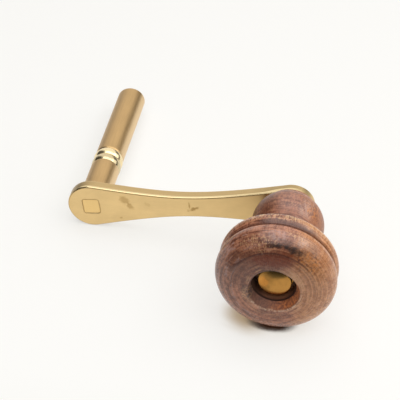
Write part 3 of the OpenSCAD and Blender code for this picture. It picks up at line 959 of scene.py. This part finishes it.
def plain_wood(knob, wood):
    """Dark heartwood to the left and lighter wood to the right, with patches of painted shade, a bulb of two
    woods with painted sheen, painted shade above the recess, turning lines on the left and painted sheen on top."""
    grain = wood.streaks * 0.28 + wood.mottle * 0.1 + wood.rays * 0.12 + wood.fine_rings * 0.5
    tone = grain.between(0.41, 0.59)
    dark_wood = tone.blend(knob.heartwood, knob.heartwood_pale)
    light_wood = tone.blend(knob.sapwood, knob.sapwood_pale)
    base = (wood.side * (0.3 + wood.on_head * 0.7)).blend(dark_wood, light_wood)
    base = ((1 - wood.on_head) * 0.3).blend(base, knob.heartwood)
    # Painted shade patches.
    base = patches(wood.where, SHADOWED).blend(base, knob.shadow)

    split = knob.bulb_split
    right_bulb = (1 - wood.bearing.between(split - 0.06, split + 0.06)) * wood.bearing.between(-0.9, -0.4)
    base = (right_bulb * wood.on_bulb * 0.5).blend(base, knob.sapwood)
    # Painted sheen on the bulb.
    base = patches(wood.where, PAINTED_BULB_SHEEN).blend(base, knob.pale_lines_and_sheen)
    # Painted sheen on a strip where the bulb's woods meet.
    strip = band(wood.bearing + wood.wander * 0.3, split + 0.06, 0.1, 0.2)
    strip = strip * band(wood.station, 9.5, 2.5, 2.0)
    base = (strip * wood.mottle.between(0.36, 0.56) * 0.22).blend(base, knob.bulb_sheen)

    # Painted shade: darker, redder wood above the recess.
    base = patches(wood.where, SHADED_TOP).blend(base, knob.shaded_top)
    turned_left = wood.out.between(11.5, 13.5) * wood.station.between(31.0, 34.0)
    turned_left = turned_left * (0.25 + (-wood.x).between(2.0, 11.0) * 0.75)
    dark_lines = (1 - wood.rings.between(0.38, 0.52)) * turned_left
    light_lines = wood.rings.between(0.52, 0.62) * wood.mottle.between(0.35, 0.55) * turned_left
    base = (dark_lines * 0.55).blend(base, knob.grime_and_shade)
    base = (light_lines * 0.36).blend(base, knob.pale_lines_and_sheen)
    # Painted sheen on the head's top.
    return (patches(wood.where, PAINTED_TOP_SHEEN) * wood.mottle.between(0.35, 0.6)).blend(base, knob.pale_lines_and_sheen)


def marked_wood(knob, wood, base):
    """Gold and orange flecks along the rays, a light ridge on the collar, a dark streak across the head's
    top that is partly painted shade, specks on the right and on the bulb, dirt and painted shade on the
    collar's front, painted shade in the groove, a dark line on the face, and pores."""
    orange = patches(wood.where, ORANGE_FLECKS)
    ridge = band(wood.station, 25.6, 1.2, 1.4) * wood.bearing.between(0.2, 0.6)
    ridge = ridge * (1 - wood.bearing.between(1.9, 2.4))
    base = (ridge * wood.mottle.between(0.38, 0.6) * 0.4).blend(base, knob.light_fleck)
    base = (wood.gold_rays * 0.75).blend(base, knob.light_fleck)
    base = (wood.flecks.between(0.5, 0.6) * orange * 0.8).blend(base, knob.orange_fleck)
    base = ((1 - wood.rays.between(0.36, 0.47)) * wood.gold * 0.6).blend(base, knob.grime_and_shade)
    base = ((1 - wood.flecks.between(0.38, 0.47)) * orange * 0.7).blend(base, knob.grime_and_shade)

    # Dark streak across the head's top: partly dark wood, partly painted shade below the sheen.
    across = noise(wood.where, (0.35, 1.2, 1.0), 4.0, 0.65) - 0.5
    along_streak = band(wood.bearing, np.radians(69), np.radians(13), np.radians(13))
    streak = band(wood.out + across * 4.0, 15.9, 0.4, 0.9) * along_streak * wood.station.between(35.2, 36.0)
    base = (streak * (0.55 + wood.mottle.between(0.35, 0.55) * 0.4)).blend(base, knob.dark_vein_and_shade)
    flecked = wood.side * wood.on_head * 0.35 + wood.on_bulb * 0.5
    base = ((1 - wood.specks.between(0.4, 0.49)) * flecked * 0.6).blend(base, knob.grime_and_shade)
    base = (wood.specks.between(0.53, 0.62) * flecked * 0.6).blend(base, knob.sapwood_pale)

    groove = (KNOB_LENGTH - knob.front_depth - knob.back_depth) / MM
    collar_top = band(wood.bearing, np.radians(75), np.radians(22), np.radians(18))
    uneven = wood.station + (wood.mottle - 0.5) * 2.0
    # Dirt and painted shade on the collar's front side.
    collar_grime_and_shade = band(uneven, groove - 0.6, 0.5, 0.9) * collar_top * 0.75
    # Painted shade in the groove.
    groove_shade = band(wood.station, groove, 0.2, 0.9) * 0.65
    face_line = band(wood.out + wood.wander, 13.3, 0.12, 0.4) * wood.station.between(37.6, 38.0)
    face_line = face_line * wood.z.between(4.0, 9.0) * 0.6
    pores = wood.fibre.between(0.6, 0.72) * 0.4
    return face_line.higher(collar_grime_and_shade).higher(groove_shade).higher(pores).blend(base, knob.grime_and_shade)


def worn_mouth(knob, wood, base):
    """The recess's bevel, worn wide on one side, with fine lines round it, chips and a painted highlight along its
    lower rim, the recess's wall with a dark lip, painted shade at its sides and a painted warm reflection
    near its floor, and a scratched patch beside it. The bevel's mask is returned too."""
    worn_way = (wood.x * np.cos(knob.worn_side) + wood.z * np.sin(knob.worn_side)) * wood.out ** -1.0
    worn_share = worn_way.between(-1.0, 0.7)
    recess = knob.recess / MM
    past_mouth = wood.out - (recess + knob.mouth_width / MM * worn_share)
    bevel = 1 - past_mouth.between(-0.15, 0.1)
    grain = wood.specks.between(0.38, 0.62)
    left = grain.blend(knob.bevel_left, knob.bevel_left_pale)
    right = grain.blend(knob.bevel_right, knob.bevel_right_pale)
    base = (bevel * 0.9).blend(base, wood.x.between(-6.0, 5.0).blend(left, right))
    near_mouth = band(past_mouth, 1.2, 0.9, 0.5) * wood.station.between(37.6, 38.0)
    base = (near_mouth * wood.fine_rings.between(0.54, 0.6) * 0.3).blend(base, knob.light_fleck)
    # Worn chips along the lower rim, whose pale colour also paints the rim's highlight.
    rim = band(past_mouth + wood.wander * 0.8, 0.25, 0.1, 0.4) * wood.station.between(37.0, 37.6)
    chips = rim * (-wood.z).between(0.0, 5.0) * wood.specks.between(0.46, 0.58)
    base = (chips * 0.85).blend(base, knob.chip_and_highlight)

    wall = 1 - (wood.out - recess).between(0.0, 0.16)
    below_lip = KNOB_LENGTH / MM - knob.mouth_depth / MM * worn_share - wood.station
    # Painted warm reflection of the head on the wall near its floor.
    wall_tone = below_lip.between(0.5, 2.6).blend(knob.wall_upper, knob.wall_deep_reflection)
    base = (wall * 0.9).blend(base, wall_tone)
    # Painted shade on the wall's left and right.
    base = (wall * abs(wood.x).between(3.0, 6.4) * 0.8).blend(base, knob.wall_side_shade)
    base = (wall * band(below_lip, 0.3, 0.15, 0.4) * 0.95).blend(base, knob.wall_lip)
    scratched = patches(wood.where, SCRATCHED)
    base = (scratched * wood.specks.between(0.48, 0.54) * 0.9).blend(base, knob.dark_vein_and_shade)
    base = (scratched * (1 - wood.specks.between(0.4, 0.45)) * 0.6).blend(base, knob.light_fleck)
    return base, bevel


def knob_wood(knob):
    """Turned dark hardwood with its grain along the knob's axis, glossier on the head than on the bulb."""
    material, where = start_finish("knob_wood", THROW)
    wood = Wood(where)
    base = marked_wood(knob, wood, plain_wood(knob, wood))
    base, bevel = worn_mouth(knob, wood, base)
    roughness = 0.22 + wood.mottle * 0.1 + wood.gold_rays * 0.1 + bevel * 0.35 + (1 - wood.on_head) * 0.12
    height = wood.fine_rings * 0.35 + wood.fibre * 0.25 + wood.rays * wood.gold * 0.4 + bevel * wood.specks
    return end_finish(material, base, roughness, {"IOR": 1.58}, (height, 0.2, 0.08 * MM))


# The stage

def resting_plane(key):
    """Normal and a point of the plane under the arm's round end, the shaft's tip and the knob's widest place.
    Each rests on the lowest point of a circle about Y. The plane through the three is found by repetition."""
    centres = np.array([
        (0, -ARM_BACK - key.arm.back_round, 0),
        (0, -key.shaft.tip_round, 0),
        (THROW, KNOB_LOW.y + key.knob.front_depth, 0),
    ])
    radii = np.array([-ARM_LOW.x, SHAFT_RADIUS, KNOB_RADIUS])
    normal = np.array([0.0, 0.0, 1.0])
    for _ in range(20):
        side = normal * (1, 0, 1) / np.hypot(normal[0], normal[2])
        touch = centres - radii[:, None] * side
        normal = np.cross(touch[1] - touch[2], touch[0] - touch[2])
        normal *= np.sign(normal[2]) / np.linalg.norm(normal)
    return Vector(normal), Vector(touch[2])


def seen_ray(shade):
    """1 for rays that are seen straight, in a mirror or through glass, 0 for rays that only carry light."""
    outputs = shade.node("ShaderNodeLightPath").socket.node.outputs
    kinds = ("Is Camera Ray", "Is Glossy Ray", "Is Transmission Ray")
    straight, mirrored, through = [Shade(shade.tree, outputs[kind]) for kind in kinds]
    return straight.higher(mirrored).higher(through)


def openness(shade, reach, lean):
    """Share of the directions about a leaning normal that nothing blocks within a reach."""
    normal = shade.node("ShaderNodeCombineXYZ", None, dict(enumerate(lean)))
    values = {"Distance": reach, "Normal": normal}
    return shade.node("ShaderNodeAmbientOcclusion", {"samples": 16}, values, output="AO")


def sheet_finish(stage):
    """Matt white paper, lifted towards white where it is seen, so that it keeps its soft shadows. A painted
    contact shadow lies under the knob and a painted warm shadow beside it, both from occlusion, and the
    sheet's edges fade into the backdrop."""
    material, where = start_finish("sheet_paper")
    x, y, _ = parts(where)
    knob_x = THROW / MM
    tooth = noise(where, (0.8, 0.8, 0.8))
    tone = tooth.blend(scaled(stage.sheet_colour, 0.995), stage.sheet_colour)
    front_fade = (-y).between(124.0, 144.0)
    back_fade = y.between(150.0, 440.0)
    side_fade = abs(x - knob_x / 2).between(160.0, 410.0)
    fade = front_fade.higher(back_fade).higher(side_fade)

    near_knob = x.between(knob_x - 36.0, knob_x - 21.0)
    touching = x.between(knob_x - 15.0, knob_x - 5.0) * (1 - x.between(knob_x, knob_x + 7.0))
    # Painted shadow: occlusion darkens a line under the knob, and a warm shade to its left, in what the sheet
    # shows.
    gap = openness(where, 4 * MM, (0.35, 0.15, 0.92))
    painted_contact_shadow = (1 - gap.between(0.31, 0.47)) * (0.1 + near_knob * 0.2 + touching * 0.7)
    nearby = openness(where, 9 * MM, (0.65, 0.1, 0.75))
    warm = (1 - nearby.between(0.35, 0.9)) * near_knob
    beside = (1 - nearby.between(0.3, 0.72)) * near_knob * (1 - x.between(knob_x - 12.0, knob_x - 2.0))
    shaded = fade.blend(painted_contact_shadow.blend(stage.sheet_shade, stage.contact_shade), (0, 0, 0))
    lift = (warm * 0.35).blend(scaled(stage.backdrop, 0.68), stage.warm_shadow_lift)
    lift = (beside * 0.85).blend(lift, stage.side_shadow_lift)
    lift = fade.blend(painted_contact_shadow.blend(lift, stage.contact_shadow_lift), stage.backdrop)
    seen = seen_ray(where)
    glow = seen.blend((0, 0, 0), lift)
    others = {"Emission Color": glow, "Emission Strength": 1.0, "Specular IOR Level": 0.0}
    return end_finish(material, seen.blend(tone, shaded), 0.9, others)


def add_sheet(key):
    """The sheet that the key lies on: a grid in the resting plane, wide to both sides and far back."""
    normal, under_knob = resting_plane(key)
    stage = key.stage
    right = Vector((0, 1, 0)).cross(normal).normalized()
    back = normal.cross(right)
    points = 25
    across = np.linspace(-stage.sheet_half_width, stage.sheet_half_width, points)
    deep = np.linspace(-stage.sheet_front, stage.sheet_back, points)
    sideways = across[None, :, None] * np.array(right)
    grid = np.array(under_knob) + sideways + deep[:, None, None] * np.array(back)
    mesh = bpy.data.meshes.new("sheet")
    mesh.from_pydata(grid.reshape(-1, 3).tolist(), [], grid_faces(points, points, False).tolist())
    mesh.materials.append(sheet_finish(stage))
    sheet = bpy.data.objects.new("sheet", mesh)
    bpy.context.scene.collection.objects.link(sheet)
    return normal


def add_camera(stage, up):
    """Camera at its place, upright over the sheet."""
    data = bpy.data.cameras.new("camera")
    data.lens = stage.lens
    data.clip_start = 0.01
    camera = bpy.data.objects.new("camera", data)
    at = Vector(stage.camera_place)
    back = (at - Vector(stage.camera_aim)).normalized()
    right = up.cross(back).normalized()
    turn = Matrix((right, back.cross(right), back)).transposed()
    camera.matrix_world = Matrix.Translation(at) @ turn.to_4x4()
    bpy.context.scene.collection.objects.link(camera)
    bpy.context.scene.camera = camera


def add_lamp(name, at, back, width, height, power):
    """A large soft lamp that shines away from the direction behind it."""
    data = bpy.data.lights.new(name, "AREA")
    data.shape = "RECTANGLE"
    data.size = width
    data.size_y = height
    data.energy = power
    lamp = bpy.data.objects.new(name, data)
    lamp.location = at
    lamp.rotation_euler = Vector(back).to_track_quat("Z", "Y").to_euler()
    lamp.visible_camera = False
    bpy.context.scene.collection.objects.link(lamp)


def add_world(stage):
    """Room light: dim low down and towards the camera, bright above and behind, plain where it is seen."""
    world = bpy.data.worlds.new("room")
    world.use_nodes = True
    bpy.context.scene.world = world
    tree = world.node_tree
    background = next(n for n in tree.nodes if n.type == "BACKGROUND")
    shade = Shade(tree)
    x, y, z = parts(shade.node("ShaderNodeTexCoord", output="Generated"))
    over_horizon = (z - 0.6 * x.higher(0.0)).between(-0.05, 0.12)
    behind = y.between(0.0, 0.5) * over_horizon * (x + y * 0.9).between(-0.1, 0.15)
    room = behind.blend(stage.room_dim, stage.room_bright)
    seen = shade.node("ShaderNodeLightPath", output="Is Camera Ray")
    shade.join(seen.blend(room, stage.backdrop), background.inputs["Color"])


# Operators

class CLOCK_KEY_OT_stage(Operator):
    """Lay the sheet and set the camera, the two lamps and the room light"""

    bl_idname = "clock_key.stage"
    bl_label = "Stage"

    def execute(self, context):
        key = context.scene.clock_key
        stage = key.stage
        add_camera(stage, add_sheet(key))
        add_lamp("ceiling_light", stage.ceiling_place, (0, 0, 1), stage.ceiling_width, stage.ceiling_depth,
                 stage.ceiling_power)
        add_lamp("window_light", stage.window_place, (1, 0, 0), stage.window_width, stage.window_height,
                 stage.window_power)
        add_world(stage)
        context.scene.view_settings.view_transform = "Standard"
        return {"FINISHED"}


class CLOCK_KEY_OT_crank_arm(Operator):
    """Build the brass arm with its rounded edges and two holes"""

    bl_idname = "clock_key.crank_arm"
    bl_label = "Crank arm"

    def execute(self, context):
        arm = context.scene.clock_key.arm
        add_piece("crank_arm_surface", arm_grids(arm), arm_brass(arm), "crank", "crank_arm")
        return {"FINISHED"}


class CLOCK_KEY_OT_winding_shaft(Operator):
    """Build the brass winding shaft with its tenon, beads and square socket"""

    bl_idname = "clock_key.winding_shaft"
    bl_label = "Winding shaft"

    def execute(self, context):
        shaft = context.scene.clock_key.shaft
        add_piece("winding_shaft_surface", shaft_grids(shaft), shaft_brass(shaft),
                  "crank", "winding_shaft")
        return {"FINISHED"}


class CLOCK_KEY_OT_knob(Operator):
    """Build the turned wooden knob"""

    bl_idname = "clock_key.knob"
    bl_label = "Knob"

    def execute(self, context):
        knob = context.scene.clock_key.knob
        add_piece("knob_surface", [(knob_surface(knob), True)], knob_wood(knob), "grip", "knob")
        return {"FINISHED"}


class CLOCK_KEY_OT_spindle(Operator):
    """Build the headed spindle, and finish the bush and the washers in the same brass"""

    bl_idname = "clock_key.spindle"
    bl_label = "Spindle, bush and washers"

    def execute(self, context):
        spindle = context.scene.clock_key.spindle
        finish = spindle_brass(spindle)
        line = spindle_profile(spindle)
        surface = turned(line[:, 0], line[:, 1], THROW)
        add_piece("knob_spindle_surface", [(surface, True)], finish, "crank", "knob_spindle")
        for node in ("knob_bush", "arm_washer", "head_washer"):
            part = frame["nodes"][node]
            part.data.materials.clear()
            part.data.materials.append(finish)
        return {"FINISHED"}


class VIEW3D_PT_clock_key(Panel):
    """Settings and steps of the clock winding key"""

    bl_label = "Clock winding key"
    bl_space_type = "VIEW_3D"
    bl_region_type = "UI"
    bl_category = "Clock key"

    def draw(self, context):
        key = context.scene.clock_key
        for step in STEPS:
            self.layout.operator(step.bl_idname)
        for group in (key.arm, key.shaft, key.knob, key.spindle, key.stage):
            box = self.layout.box()
            for name in group.__annotations__:
                box.prop(group, name)


STEPS = (CLOCK_KEY_OT_stage, CLOCK_KEY_OT_crank_arm, CLOCK_KEY_OT_winding_shaft, CLOCK_KEY_OT_knob,
         CLOCK_KEY_OT_spindle)
CLASSES = (ArmSettings, ShaftSettings, KnobSettings, SpindleSettings, StageSettings, KeySettings, *STEPS,
           VIEW3D_PT_clock_key)


def register():
    for made in CLASSES:
        bpy.utils.register_class(made)
    bpy.types.Scene.clock_key = PointerProperty(type=KeySettings)


def unregister():
    del bpy.types.Scene.clock_key
    for made in reversed(CLASSES):
        bpy.utils.unregister_class(made)


def main():
    register()
    bpy.ops.clock_key.stage()
    bpy.ops.clock_key.crank_arm()
    bpy.ops.clock_key.winding_shaft()
    bpy.ops.clock_key.knob()
    bpy.ops.clock_key.spindle()


if __name__ == "__main__":
    main()
